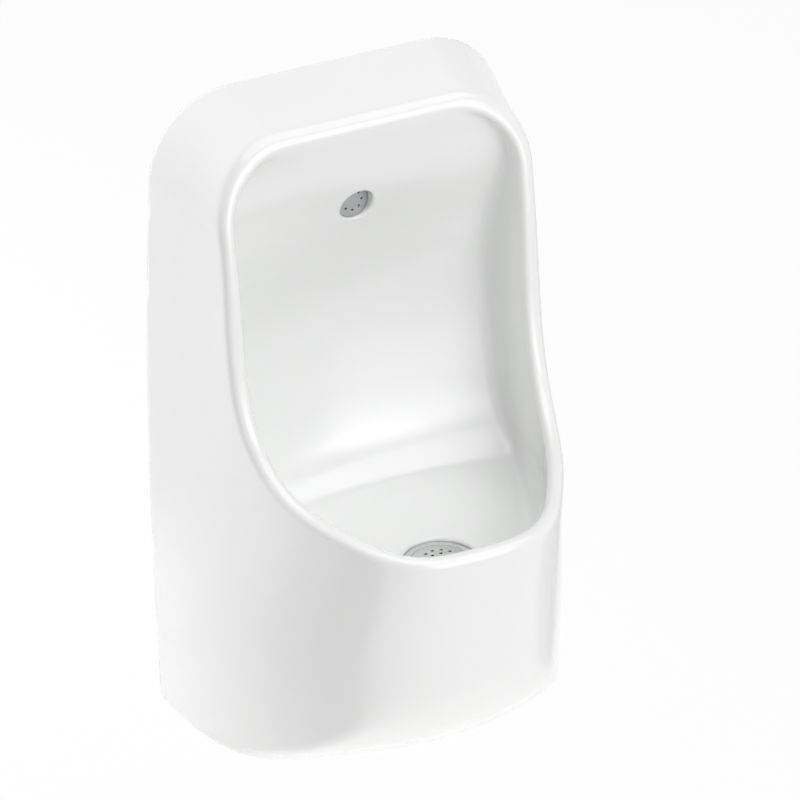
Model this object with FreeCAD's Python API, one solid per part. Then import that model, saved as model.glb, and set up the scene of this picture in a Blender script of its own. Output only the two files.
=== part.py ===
import FreeCAD, Part
import math
import os
from FreeCAD import Vector

# Wall-hung urinal with a concealed trap, in millimetres.
# X runs along the wall, the wall plane is y = 0, the front faces -Y and Z is up.
# The origin lies on the wall plane, on the centre line, level with the bottom edge.
# A depth is a distance from the wall plane towards the front, so y is minus the depth.

# Shared allowances
overrun = 20.0
clearance = 0.3
loft_degree = 3

# Ceramic body, outside
body_width = 352.0
body_height = 600.0
body_depth = 291.0
skirt_setback = 10.0
bottom_taper = 14.0
hip_taper = 11.0
skirt_taper = 6.0
shoulder_taper = 2.5
top_taper = 11.0
hip_height = 50.0
skirt_height = 130.0
middle_height = 270.0
shoulder_drop = 200.0
corner_radius = 77.0
bottom_round = 15.0
forehead_drop = 19.0
rim_top_depth = 80.0
shell_wall = 11.0
rim_land = 17.0

# Plan of the outside, from the wall to the nose: depth shares and half-width shares
plan_depth_shares = (0.0, 0.18, 0.36, 0.54, 0.70, 0.82, 0.91, 0.97, 1.0)
upper_plan_shares = (1.0, 0.935, 0.870, 0.797, 0.700, 0.590, 0.480, 0.345, 0.0)
lower_plan_shares = (1.0, 0.985, 0.945, 0.865, 0.745, 0.610, 0.470, 0.290, 0.0)

# Round bottom edge: rise and inset at each step, as shares of its radius
bottom_rise_shares = (0.0, 0.18, 0.50, 1.0)
bottom_inset_shares = (0.74, 0.43, 0.134, 0.0)

# Rim seen from the side, between its top and its lip
lip_rise = 43.0
rim_depth_shares = (0.0, 0.0806, 0.142, 0.175, 0.256, 0.408, 0.692, 1.0)
rim_height_shares = (1.0, 0.839, 0.594, 0.403, 0.228, 0.120, 0.049, 0.0)

# Chin under the skirt: steps from the bottom to its top, and how it bows across the front
chin_height = 146.0
chin_setback = 124.0
chin_bottom_bow = 259.0
chin_top_bow = 147.0
chin_rise_shares = (-0.14, 0.0, 0.342, 0.630, 1.0, 1.44)
chin_setback_shares = (1.20, 1.0, 0.427, 0.161, 0.056, -0.085)

# Bowl: one ring for each height, from the floor to the ceiling
bowl_floor_height = 214.0
bowl_ceiling_drop = 29.0
bowl_side_land = 36.0
bowl_back_depth = 30.0
bowl_back_sweep = 62.0
bowl_corner_radius = 26.0
bowl_floor_radius = 34.0
lip_wall = 12.0
bowl_side_share = 0.55
bowl_rise_shares = (0.0, 0.016, 0.060, 0.125, 0.24, 0.38, 0.52, 0.65, 0.77, 0.82, 0.905, 0.972, 1.0)
bowl_back_shares = (1.03, 0.87, 0.67, 0.476, 0.258, 0.097, 0.05, 0.18, 0.46, 0.58, 0.70, 0.79, 0.84)
bowl_tuck_shares = (1.0, 0.46, 0.12, 0.0, 0.0, 0.0, 0.0, 0.0, 0.0, 0.0, 0.0, 0.0, 0.0)
bowl_width_shares = (1.0, 1.0, 1.0, 1.0, 1.0, 1.0, 1.0, 1.0, 1.0, 1.0, 0.935, 0.760, 0.520)

# Hanger rib behind the forehead and the steel brackets that hook under it
hanger_spacing = 190.0
rib_drop = 64.0
rib_thickness = 13.0
rib_reach = 90.0
bracket_width = 40.0
bracket_steel = 4.0
bracket_drop = 80.0
bracket_hook_reach = 22.0
bracket_hook_rise = 24.0
bracket_hole_radius = 4.25
bracket_hole_spacing = 40.0
bracket_hole_margin = 16.0
slot_play = 3.0
pad_thickness = 2.0

# Lugs for the lower fixing screws, and their bushes
lug_edge_distance = 51.0
lug_height = 62.0
lug_width = 70.0
lug_tall = 56.0
lug_thickness = 15.0
bush_hole_radius = 7.0
bush_bore_radius = 4.25
bush_flange_radius = 12.0
bush_flange = 3.0

# Flush inlet
inlet_drop = 112.0
inlet_hole_radius = 15.5
inlet_step_depth = 42.0
inlet_boss_radius = 30.0
inlet_boss_depth = 34.0
inlet_boss_reach = 80.0
inlet_head_length = 6.5
inlet_head_front_wall = 2.5
inlet_chamber_share = 0.5
inlet_spray_hole_radius = 1.0
inlet_spray_ring_radius = 9.0
inlet_spray_holes = 8
inlet_tail_radius = 10.48
inlet_tail_bore_radius = 7.5
inlet_spigot_radius = 9.5
inlet_spigot_length = 17.0
inlet_tail_end_depth = 4.0
inlet_gasket_thickness = 1.5
inlet_rear_gasket_radius = 20.0
inlet_rear_gasket_thickness = 2.0
inlet_washer_thickness = 1.5
inlet_nut_flats = 32.0
inlet_nut_length = 8.0

# Waste fitting in the bowl floor
outlet_setback = 79.0
outlet_hole_radius = 26.0
outlet_recess_radius = 33.0
outlet_recess_depth = 5.0
waste_flange_radius = 32.0
waste_flange_thickness = 2.5
waste_tail_radius = 23.9
waste_tail_bore_radius = 20.5
waste_tail_length = 54.0
waste_gasket_thickness = 2.0
waste_lower_gasket_radius = 36.0
waste_lower_gasket_thickness = 3.0
friction_ring_thickness = 1.5
waste_nut_flats = 66.0
waste_nut_length = 12.0

# Strainer that lifts out of the waste fitting
strainer_radius = 26.0
strainer_edge = 1.5
strainer_crown = 2.5
strainer_sheet = 1.5
strainer_skirt_radius = 19.6
strainer_skirt_length = 10.0
strainer_hole_radius = 1.5
strainer_dome_radius_shares = (1.0, 0.70, 0.36, 0.0)
strainer_dome_rise_shares = (0.0, 0.55, 0.90, 1.0)
strainer_ring_shares = (0.0, 0.32, 0.58)
strainer_ring_counts = (1, 6, 12)

# Trap
pipe_radius = 20.0
pipe_wall = 2.0
collar_radius = 23.5
collar_thickness = 3.0
seal_thickness = 2.5
nut_radius = 29.0
nut_lip = 6.0
nut_grip_length = 16.0
nut_grip_count = 12
nut_grip_radius = 3.0
bend_radius = 36.0
bend_centre_height = 104.0
bend_leg = 6.0
elbow_radius = 34.0
elbow_collar_length = 13.0
outlet_pipe_height = 158.0
outlet_pipe_end_depth = 3.0
cleaning_boss_radius = 15.0
cleaning_boss_drop = 6.0
cleaning_bore_radius = 10.0
cleaning_plug_shank = 14.0
cleaning_plug_flats = 22.0
cleaning_plug_head = 6.0
cleaning_seal_thickness = 2.0


def mix(start, end, share):
    return start + (end - start) * share


def export(name, shape):
    shape.exportStep(os.path.join("parts", name + ".step"))


# Outlines of the outside


def offset_points(points, inset):
    """Move each point of an open line to its left by inset."""
    moved = []
    for index, (x, y) in enumerate(points):
        before = points[max(index - 1, 0)]
        after = points[min(index + 1, len(points) - 1)]
        run_x = after[0] - before[0]
        run_y = after[1] - before[1]
        length = math.hypot(run_x, run_y)
        moved.append((x - inset * run_y / length, y + inset * run_x / length))
    return moved


def half_plan(half_width, depth, shares, inset):
    """Right half of the plan as (x, depth), from behind the wall to the nose."""
    points = [(half_width * x, depth * d) for x, d in zip(shares, plan_depth_shares)]
    flare = (points[0][0] - points[1][0]) / (points[1][1] - points[0][1])
    points.insert(0, (points[0][0] + flare * overrun, -overrun))
    points = offset_points(points, inset)
    points[-1] = (0.0, depth - inset)
    return points


def spaced(points):
    """Distance along a line of points, from its first point to each point."""
    along = [0.0]
    for a, b in zip(points, points[1:]):
        along.append(along[-1] + math.hypot(b[0] - a[0], b[1] - a[1]))
    return along


def plan_wire(half, height, slope, along):
    """Closed plan through a half outline and its mirror image, tilted down to the front by slope."""
    left = [(-x, d) for x, d in reversed(half[:-1])]
    points = [Vector(x, -d, height - slope * d) for x, d in half + left]
    curve = Part.BSplineCurve()
    curve.interpolate(Points=points, Parameters=along)
    return Part.Wire([curve.toShape(), Part.makeLine(points[-1], points[0])])


def outside_loft(inset, reach):
    """The body without its rim cut and chin, drawn in by inset, and carried on below the bottom by reach."""
    forehead_slope = forehead_drop / rim_top_depth
    flat_half = (body_width - top_taper) / 2 - corner_radius
    skirt_depth = body_depth - skirt_setback
    levels = [
        (bottom_round * rise, bottom_taper, skirt_depth, lower_plan_shares, bottom_round * draw)
        for rise, draw in zip(bottom_rise_shares, bottom_inset_shares)
    ]
    if reach:
        levels.insert(0, (-reach,) + levels[0][1:])
    levels += [
        (hip_height, hip_taper, skirt_depth, lower_plan_shares, 0.0),
        (skirt_height, skirt_taper, skirt_depth, lower_plan_shares, 0.0),
        (middle_height, 0.0, body_depth, upper_plan_shares, 0.0),
        (body_height - shoulder_drop, shoulder_taper, body_depth, upper_plan_shares, 0.0),
    ]
    middle = half_plan(body_width / 2, body_depth, upper_plan_shares, inset)
    along = spaced(middle + [(-x, d) for x, d in reversed(middle[:-1])])
    wires = [
        plan_wire(half_plan((body_width - taper) / 2, depth, shares, inset + draw), height, 0.0, along)
        for height, taper, depth, shares, draw in levels
    ]
    for degrees in (0, 30, 60, 80, 90):
        turn = math.radians(degrees)
        half = half_plan(
            flat_half + corner_radius * math.cos(turn), body_depth, upper_plan_shares, inset * math.cos(turn)
        )
        height = body_height - corner_radius + (corner_radius - inset) * math.sin(turn)
        wires.append(plan_wire(half, height, forehead_slope, along))
    return Part.makeLoft(wires, True, False, False, loft_degree)


def side_curve(points):
    """Curve in the centre plane through (depth, height) points."""
    curve = Part.BSplineCurve()
    curve.interpolate([Vector(0, -d, z) for d, z in points])
    return curve.toShape()


def polyline(points):
    places = [Vector(0, -d, z) for d, z in points]
    return [Part.makeLine(a, b) for a, b in zip(places, places[1:])]


def rim_tool(land, back):
    """Everything behind and below the rim, drawn in from it by land, as a prism along X."""
    lip_height = bowl_floor_height + lip_rise
    rim_top = body_height - forehead_drop
    rim = [
        (mix(rim_top_depth, body_depth, d) - land, mix(lip_height, rim_top, z) - land)
        for d, z in zip(rim_depth_shares, rim_height_shares)
    ]
    top = body_height + overrun
    front = body_depth + overrun
    front_corners = [(front, rim[-1][1]), (front, -overrun)]
    back_corners = [(back, -overrun), (back, top), (rim[0][0], top)]
    edges = [side_curve(rim)] + polyline(rim[-1:] + front_corners + back_corners + rim[:1])
    face = Part.Face(Part.Wire(edges))
    face.translate(Vector(-body_width, 0, 0))
    return face.extrude(Vector(2 * body_width, 0, 0))


def chin_wire(height, depth, bow):
    """Outline of what lies in front of the chin at one height: a bowed back edge and a straight front."""
    reach = body_width / 2 + overrun
    sag = reach * reach / (2 * bow)
    front = body_depth + 2 * overrun
    right, left = Vector(reach, sag - depth, height), Vector(-reach, sag - depth, height)
    bowed = Part.BezierCurve()
    bowed.setPoles([right, Vector(0, -sag - depth, height), left])
    corners = [left, Vector(-reach, -front, height), Vector(reach, -front, height), right]
    return Part.Wire([bowed.toShape()] + [Part.makeLine(a, b) for a, b in zip(corners, corners[1:])])


def chin_cutter(land):
    """Everything in front of and below the chin, carried back and up by land."""
    wires = []
    for rise, setback in zip(chin_rise_shares, chin_setback_shares):
        bow = 1 / mix(1 / chin_bottom_bow, 1 / chin_top_bow, rise)
        wires.append(chin_wire(chin_height * rise + land, body_depth - chin_setback * setback - land, bow))
    return Part.makeLoft(wires, True, False, False, loft_degree)


# The bowl


def bowl_ring(height, back, tuck, half_width, grow):
    """One closed ring of the bowl: straight back and sides, round corners, a front that follows the rim."""
    half = half_width - tuck + grow
    rear = back - grow
    radius = bowl_corner_radius - tuck / 2
    bevel = radius * (1 - math.sqrt(0.5))
    rim_plan = half_plan(body_width / 2, body_depth, upper_plan_shares, lip_wall + tuck - grow)
    front = [(min(x, half), d) for x, d in rim_plan[4:]]
    turn_depth = mix(rear + radius, front[0][1], bowl_side_share)
    front.insert(0, (half, turn_depth))

    def place(side, x, depth):
        return Vector(side * x, -depth, height)

    curve = Part.BSplineCurve()
    curve.interpolate(
        Points=[place(1, x, d) for x, d in front] + [place(-1, x, d) for x, d in reversed(front[:-1])],
        InitialTangent=Vector(0, -1, 0),
        FinalTangent=Vector(0, 1, 0),
    )
    edges = {}
    for side in (-1, 1):
        corner = [(half - radius, rear), (half - bevel, rear + bevel), (half, rear + radius)]
        arc = Part.Arc(*[place(side, x, d) for x, d in corner])
        straight = Part.makeLine(place(side, half, rear + radius), place(side, half, turn_depth))
        edges[side] = [arc.toShape(), straight]
    rear_edge = Part.makeLine(place(-1, half - radius, rear), place(1, half - radius, rear))
    return Part.Wire([rear_edge] + edges[1] + [curve.toShape()] + edges[-1][::-1])


def bowl_solid(grow):
    """The space of the bowl, enlarged by grow on the back, sides and floor."""
    rise = body_height - bowl_ceiling_drop - bowl_floor_height
    half_width = body_width / 2 - bowl_side_land
    rings = []
    table = zip(bowl_rise_shares, bowl_back_shares, bowl_tuck_shares, bowl_width_shares)
    for rise_share, back_share, tuck_share, width_share in table:
        height = bowl_floor_height + rise * rise_share - grow * (1 - 2 * rise_share)
        back = bowl_back_depth + bowl_back_sweep * back_share
        rings.append(bowl_ring(height, back, bowl_floor_radius * tuck_share, half_width * width_share, grow))
    return Part.makeLoft(rings, True, False, False, loft_degree)


# Simple turned and cut shapes


def upright(radius, bottom, top, depth):
    return Part.makeCylinder(radius, top - bottom, Vector(0, -depth, bottom))


def upright_ring(outer, inner, bottom, top, depth):
    return upright(outer, bottom, top, depth).cut(upright(inner, bottom, top, depth))


def level(radius, front, back, x, height):
    return Part.makeCylinder(radius, front - back, Vector(x, -front, height), Vector(0, 1, 0))


def level_ring(outer, inner, front, back, x, height):
    return level(outer, front, back, x, height).cut(level(inner, front, back, x, height))


def block(x_low, x_high, front, back, low, high):
    return Part.makeBox(x_high - x_low, front - back, high - low, Vector(x_low, -front, low))


def hexagon(flats, length):
    """Hexagonal prism along Z from the origin."""
    radius = flats / math.sqrt(3)
    corners = [
        Vector(radius * math.cos(math.radians(60 * step)), radius * math.sin(math.radians(60 * step)), 0)
        for step in range(7)
    ]
    return Part.Face(Part.makePolygon(corners)).extrude(Vector(0, 0, length))


def turned(points, depth):
    """Solid turned about the upright axis at depth from a closed line of (radius, height) points."""
    places = [Vector(r, -depth, z) for r, z in points + points[:1]]
    face = Part.Face(Part.makePolygon(places))
    return face.revolve(Vector(0, -depth, 0), Vector(0, 0, 1), 360)


# Places worked out from the sizes above

inlet_height = body_height - inlet_drop
outlet_depth = body_depth - outlet_setback
rib_height = body_height - rib_drop
rib_top = rib_height + rib_thickness
lug_spacing = body_width - 2 * lug_edge_distance
hook_top = rib_height - pad_thickness
hook_bottom = hook_top - bracket_steel
waste_seat = bowl_floor_height - outlet_recess_depth
waste_flange_bottom = waste_seat + waste_gasket_thickness
waste_flange_top = waste_flange_bottom + waste_flange_thickness
waste_underside = bowl_floor_height - shell_wall
waste_tail_end = waste_flange_bottom - waste_tail_length
strainer_seat = waste_flange_top - strainer_edge
bend_collar_top = waste_tail_end - seal_thickness
bend_collar_bottom = bend_collar_top - collar_thickness
rising_depth = outlet_depth - 2 * bend_radius
union_collar_bottom = bend_centre_height + bend_leg
union_collar_top = union_collar_bottom + collar_thickness
elbow_bottom = union_collar_top + seal_thickness
elbow_turn_height = outlet_pipe_height - elbow_radius
bend_low = bend_centre_height - bend_radius
boss_bottom = bend_low - pipe_radius - cleaning_boss_drop
bend_middle_depth = outlet_depth - bend_radius


# Ceramic body


def hanger_slot(side):
    """Slot in the rib that the hook of one bracket comes up through."""
    centre = side * hanger_spacing / 2
    half = bracket_width / 2 + slot_play
    back = bracket_hook_reach - bracket_steel - slot_play
    front = bracket_hook_reach + slot_play
    return block(centre - half, centre + half, front, back, rib_height - overrun, rib_top + overrun)


def fixing_lug(side):
    """Block beside the lower back edge that takes one fixing screw."""
    centre = side * lug_spacing / 2
    inner = centre - side * lug_width / 2
    outer = side * body_width
    low = lug_height - lug_tall / 2
    return block(min(inner, outer), max(inner, outer), lug_thickness, 0.0, low, low + lug_tall)


def hollow_behind():
    """The space behind and below the bowl, open to the wall and underneath, less what stays solid in it."""
    space = outside_loft(shell_wall, overrun).common(rim_tool(rim_land, -overrun))
    space = space.cut(chin_cutter(shell_wall)).cut(bowl_solid(shell_wall))
    rib = block(-body_width, body_width, rib_reach, 0.0, rib_height, rib_top)
    for side in (-1, 1):
        rib = rib.cut(hanger_slot(side))
    boss = level(inlet_boss_radius, inlet_boss_reach, inlet_boss_depth, 0.0, inlet_height)
    for solid in (rib, boss, fixing_lug(-1), fixing_lug(1)):
        space = space.cut(solid)
    return space


def ceramic_body():
    outside = outside_loft(0.0, 0.0).common(rim_tool(0.0, 0.0)).cut(chin_cutter(0.0))
    body = outside.cut(bowl_solid(0.0)).cut(hollow_behind())
    body = body.cut(level(inlet_hole_radius, inlet_boss_reach, inlet_step_depth, 0.0, inlet_height))
    body = body.cut(
        level(inlet_tail_radius + 2 * clearance, inlet_step_depth + overrun, 0.0, 0.0, inlet_height)
    )
    body = body.cut(upright(outlet_recess_radius, waste_seat, bowl_floor_height + overrun, outlet_depth))
    body = body.cut(upright(outlet_hole_radius, waste_underside - overrun, bowl_floor_height, outlet_depth))
    for side in (-1, 1):
        centre = side * lug_spacing / 2
        body = body.cut(level(bush_hole_radius, lug_thickness + overrun, -overrun, centre, lug_height))
    return body


# Hanger brackets and lower bushes


def hanger_bracket(side):
    """Pressed steel bracket: a plate on the wall, a shelf under the rib and a hook up through its slot."""
    low = side * hanger_spacing / 2 - bracket_width / 2
    high = low + bracket_width
    bottom = hook_bottom - bracket_drop
    plate = block(low, high, bracket_steel, 0.0, bottom, hook_top)
    shelf = block(low, high, bracket_hook_reach, 0.0, hook_bottom, hook_top)
    hook_back = bracket_hook_reach - bracket_steel
    hook = block(low, high, bracket_hook_reach, hook_back, hook_bottom, hook_top + bracket_hook_rise)
    bracket = plate.fuse(shelf).fuse(hook).removeSplitter()
    for step in (0, 1):
        height = bottom + bracket_hole_margin + step * bracket_hole_spacing
        centre = side * hanger_spacing / 2
        bracket = bracket.cut(level(bracket_hole_radius, bracket_steel + overrun, -overrun, centre, height))
    return bracket


def hanger_pads():
    pads = []
    for side in (-1, 1):
        low = side * hanger_spacing / 2 - bracket_width / 2
        front = bracket_hook_reach - bracket_steel
        pads.append(block(low, low + bracket_width, front, bracket_steel, hook_top, rib_height))
    return Part.makeCompound(pads)


def fixing_bushes():
    bushes = []
    for side in (-1, 1):
        centre = side * lug_spacing / 2
        sleeve = level(bush_hole_radius - clearance / 2, lug_thickness, 0.0, centre, lug_height)
        flange = level(bush_flange_radius, lug_thickness + bush_flange, lug_thickness, centre, lug_height)
        bore = level(bush_bore_radius, lug_thickness + overrun, -overrun, centre, lug_height)
        bushes.append(sleeve.fuse(flange).cut(bore).removeSplitter())
    return Part.makeCompound(bushes)


# Flush inlet set


def inlet_spreader():
    """Spray head on the step of the inlet hole, with a threaded tail and a plain spigot to the back."""
    head_back = inlet_step_depth + inlet_gasket_thickness
    head_front = head_back + inlet_head_length
    chamber_front = head_front - inlet_head_front_wall
    chamber_back = mix(head_back, chamber_front, inlet_chamber_share)
    head = level(inlet_hole_radius - clearance, head_front, head_back, 0.0, inlet_height)
    thread_end = inlet_tail_end_depth + inlet_spigot_length
    tail = level(inlet_tail_radius, head_back, thread_end, 0.0, inlet_height)
    spigot = level(inlet_spigot_radius, thread_end, inlet_tail_end_depth, 0.0, inlet_height)
    spreader = head.fuse(tail).fuse(spigot)
    bore = level(inlet_tail_bore_radius, chamber_front, inlet_tail_end_depth - overrun, 0.0, inlet_height)
    chamber_radius = inlet_spray_ring_radius + 2 * inlet_spray_hole_radius
    chamber = level(chamber_radius, chamber_front, chamber_back, 0.0, inlet_height)
    spreader = spreader.cut(bore).cut(chamber)
    for step in range(inlet_spray_holes):
        turn = 2 * math.pi * step / inlet_spray_holes
        x = inlet_spray_ring_radius * math.cos(turn)
        height = inlet_height + inlet_spray_ring_radius * math.sin(turn)
        hole = level(inlet_spray_hole_radius, head_front + overrun, chamber_back, x, height)
        spreader = spreader.cut(hole)
    return spreader.removeSplitter()


def inlet_front_gasket():
    front = inlet_step_depth + inlet_gasket_thickness
    inner = inlet_tail_radius + clearance
    return level_ring(inlet_hole_radius - clearance, inner, front, inlet_step_depth, 0.0, inlet_height)


inlet_washer_front = inlet_boss_depth - inlet_rear_gasket_thickness
inlet_nut_front = inlet_washer_front - inlet_washer_thickness
inlet_nut_back = inlet_nut_front - inlet_nut_length


def inlet_rear_gasket():
    inner = inlet_tail_radius + clearance
    return level_ring(
        inlet_rear_gasket_radius, inner, inlet_boss_depth, inlet_washer_front, 0.0, inlet_height
    )


def inlet_washer():
    inner = inlet_tail_radius + clearance
    return level_ring(
        inlet_rear_gasket_radius, inner, inlet_washer_front, inlet_nut_front, 0.0, inlet_height
    )


def inlet_locknut():
    nut = hexagon(inlet_nut_flats, inlet_nut_length)
    nut.rotate(Vector(0, 0, 0), Vector(1, 0, 0), -90)
    nut.translate(Vector(0, -inlet_nut_front, inlet_height))
    inner = inlet_tail_radius + clearance / 2
    return nut.cut(level(inner, inlet_nut_front, inlet_nut_back, 0.0, inlet_height))


# Waste set and strainer


def waste_flange():
    """Dished flange in the floor recess with a threaded tail, and a seat for the strainer."""
    flange = upright(waste_flange_radius, waste_flange_bottom, waste_flange_top, outlet_depth)
    tail = upright(waste_tail_radius, waste_tail_end, waste_flange_bottom, outlet_depth)
    bore = upright(waste_tail_bore_radius, waste_tail_end - overrun, waste_flange_top, outlet_depth)
    seat = upright(strainer_radius + clearance, strainer_seat, waste_flange_top + overrun, outlet_depth)
    return flange.fuse(tail).cut(bore).cut(seat).removeSplitter()


def waste_upper_gasket():
    inner = waste_tail_radius + clearance
    return upright_ring(waste_flange_radius, inner, waste_seat, waste_flange_bottom, outlet_depth)


waste_lower_gasket_bottom = waste_underside - waste_lower_gasket_thickness
friction_ring_bottom = waste_lower_gasket_bottom - friction_ring_thickness


def waste_lower_gasket():
    inner = waste_tail_radius + clearance
    return upright_ring(
        waste_lower_gasket_radius, inner, waste_lower_gasket_bottom, waste_underside, outlet_depth
    )


def waste_friction_ring():
    inner = waste_tail_radius + clearance
    return upright_ring(
        waste_lower_gasket_radius, inner, friction_ring_bottom, waste_lower_gasket_bottom, outlet_depth
    )


def waste_locknut():
    bottom = friction_ring_bottom - waste_nut_length
    nut = hexagon(waste_nut_flats, waste_nut_length)
    nut.translate(Vector(0, -outlet_depth, bottom))
    return nut.cut(upright(waste_tail_radius + clearance / 2, bottom, friction_ring_bottom, outlet_depth))


def strainer():
    """Low domed sheet with drain holes and a skirt that locates it in the tail."""
    edge_top = strainer_seat + strainer_edge
    skirt_bore = strainer_skirt_radius - strainer_sheet
    skirt_end = strainer_seat - strainer_skirt_length
    dome = [
        (strainer_radius * radius_share, edge_top + strainer_crown * rise_share)
        for radius_share, rise_share in zip(strainer_dome_radius_shares, strainer_dome_rise_shares)
    ]
    profile = [(strainer_radius, strainer_seat)] + dome + [
        (0.0, edge_top + strainer_crown - strainer_sheet),
        (skirt_bore, strainer_seat),
        (skirt_bore, skirt_end),
        (strainer_skirt_radius, skirt_end),
        (strainer_skirt_radius, strainer_seat),
    ]
    sheet = turned(profile, outlet_depth)
    for share, count in zip(strainer_ring_shares, strainer_ring_counts):
        for step in range(count):
            turn = 2 * math.pi * step / count
            ring = strainer_radius * share
            place = Vector(ring * math.cos(turn), ring * math.sin(turn) - outlet_depth, strainer_seat)
            sheet = sheet.cut(Part.makeCylinder(strainer_hole_radius, overrun, place))
    return sheet


# Trap


def half_bend(radius):
    """U-bend of a bar of the given radius, below the level of its centre, turned about X."""
    start = Vector(0, -outlet_depth, bend_centre_height)
    disc = Part.Face(Part.Wire(Part.makeCircle(radius, start, Vector(0, 0, 1))))
    centre = Vector(0, -bend_middle_depth, bend_centre_height)
    return disc.revolve(centre, Vector(1, 0, 0), 180)


def quarter_bend(radius):
    """Elbow of a bar of the given radius, from upright to level, turned about X."""
    start = Vector(0, -rising_depth, elbow_turn_height)
    disc = Part.Face(Part.Wire(Part.makeCircle(radius, start, Vector(0, 0, 1))))
    centre = Vector(0, elbow_radius - rising_depth, elbow_turn_height)
    return disc.revolve(centre, Vector(1, 0, 0), -90)


def trap_bend():
    """U-bend with a collar at each end and a boss for the cleaning plug underneath."""
    outside = half_bend(pipe_radius)
    outside = outside.fuse(upright(pipe_radius, bend_centre_height, bend_collar_top, outlet_depth))
    outside = outside.fuse(upright(pipe_radius, bend_centre_height, union_collar_top, rising_depth))
    outside = outside.fuse(upright(collar_radius, bend_collar_bottom, bend_collar_top, outlet_depth))
    outside = outside.fuse(upright(collar_radius, union_collar_bottom, union_collar_top, rising_depth))
    outside = outside.fuse(upright(cleaning_boss_radius, boss_bottom, bend_low, bend_middle_depth))
    bore = pipe_radius - pipe_wall
    inside = half_bend(bore)
    inside = inside.fuse(upright(bore, bend_centre_height, bend_collar_top + overrun, outlet_depth))
    inside = inside.fuse(upright(bore, bend_centre_height, union_collar_top + overrun, rising_depth))
    inside = inside.fuse(upright(cleaning_bore_radius, boss_bottom - overrun, bend_low, bend_middle_depth))
    return outside.cut(inside).removeSplitter()


def outlet_elbow():
    """Elbow from the union to a level tail that ends at the wall."""
    tail = level(pipe_radius, rising_depth - elbow_radius, outlet_pipe_end_depth, 0.0, outlet_pipe_height)
    outside = quarter_bend(pipe_radius).fuse(tail)
    outside = outside.fuse(upright(pipe_radius, elbow_bottom, elbow_turn_height, rising_depth))
    outside = outside.fuse(
        upright(collar_radius, elbow_bottom, elbow_bottom + elbow_collar_length, rising_depth)
    )
    bore = pipe_radius - pipe_wall
    inside = quarter_bend(bore)
    inside = inside.fuse(
        level(bore, rising_depth - elbow_radius, outlet_pipe_end_depth - overrun, 0.0, outlet_pipe_height)
    )
    inside = inside.fuse(upright(bore, elbow_bottom - overrun, elbow_turn_height, rising_depth))
    return outside.cut(inside).removeSplitter()


def slip_nut(collar_low, thread_radius, depth):
    """Round nut with grips: its lip bears on a collar from below and its bore goes up over a thread."""
    low = collar_low - nut_lip
    high = collar_low + nut_grip_length
    nut = upright(nut_radius, low, high, depth)
    nut = nut.cut(upright(pipe_radius + clearance, low, collar_low, depth))
    nut = nut.cut(upright(thread_radius + clearance / 2, collar_low, high, depth))
    for step in range(nut_grip_count):
        turn = 2 * math.pi * step / nut_grip_count
        reach = nut_radius + nut_grip_radius / 2
        place = Vector(reach * math.cos(turn), reach * math.sin(turn) - depth, low)
        nut = nut.cut(Part.makeCylinder(nut_grip_radius, high - low, place))
    return nut


def pipe_seal(bottom, depth):
    inner = pipe_radius - pipe_wall
    return upright_ring(collar_radius, inner, bottom, bottom + seal_thickness, depth)


def cleaning_plug():
    head_top = boss_bottom - cleaning_seal_thickness
    head = hexagon(cleaning_plug_flats, cleaning_plug_head)
    head.translate(Vector(0, -bend_middle_depth, head_top - cleaning_plug_head))
    shank_radius = cleaning_bore_radius - clearance / 2
    return head.fuse(upright(shank_radius, head_top, head_top + cleaning_plug_shank, bend_middle_depth))


def cleaning_seal():
    low = boss_bottom - cleaning_seal_thickness
    return upright_ring(
        cleaning_boss_radius - clearance, cleaning_bore_radius, low, boss_bottom, bend_middle_depth
    )


def main():
    os.makedirs("parts", exist_ok=True)
    export("ceramic_body", ceramic_body())
    export("hanger_bracket_left", hanger_bracket(-1))
    export("hanger_bracket_right", hanger_bracket(1))
    export("hanger_pads", hanger_pads())
    export("fixing_bushes", fixing_bushes())
    export("inlet_spreader", inlet_spreader())
    export("inlet_front_gasket", inlet_front_gasket())
    export("inlet_rear_gasket", inlet_rear_gasket())
    export("inlet_washer", inlet_washer())
    export("inlet_locknut", inlet_locknut())
    export("strainer", strainer())
    export("waste_flange", waste_flange())
    export("waste_upper_gasket", waste_upper_gasket())
    export("waste_lower_gasket", waste_lower_gasket())
    export("waste_friction_ring", waste_friction_ring())
    export("waste_locknut", waste_locknut())
    export("trap_inlet_nut", slip_nut(bend_collar_bottom, waste_tail_radius, outlet_depth))
    export("trap_inlet_seal", pipe_seal(bend_collar_top, outlet_depth))
    export("trap_bend", trap_bend())
    export("trap_union_nut", slip_nut(union_collar_bottom, collar_radius, rising_depth))
    export("trap_union_seal", pipe_seal(union_collar_top, rising_depth))
    export("outlet_elbow", outlet_elbow())
    export("cleaning_plug", cleaning_plug())
    export("cleaning_seal", cleaning_seal())


main()
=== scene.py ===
"""Wall-hung urinal in glazed vitreous china: looks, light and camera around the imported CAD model."""

import logging
import math
from collections.abc import Callable, Sequence
from dataclasses import dataclass
from enum import Enum

import bpy
import numpy as np
from mathutils import Matrix, Vector


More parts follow.
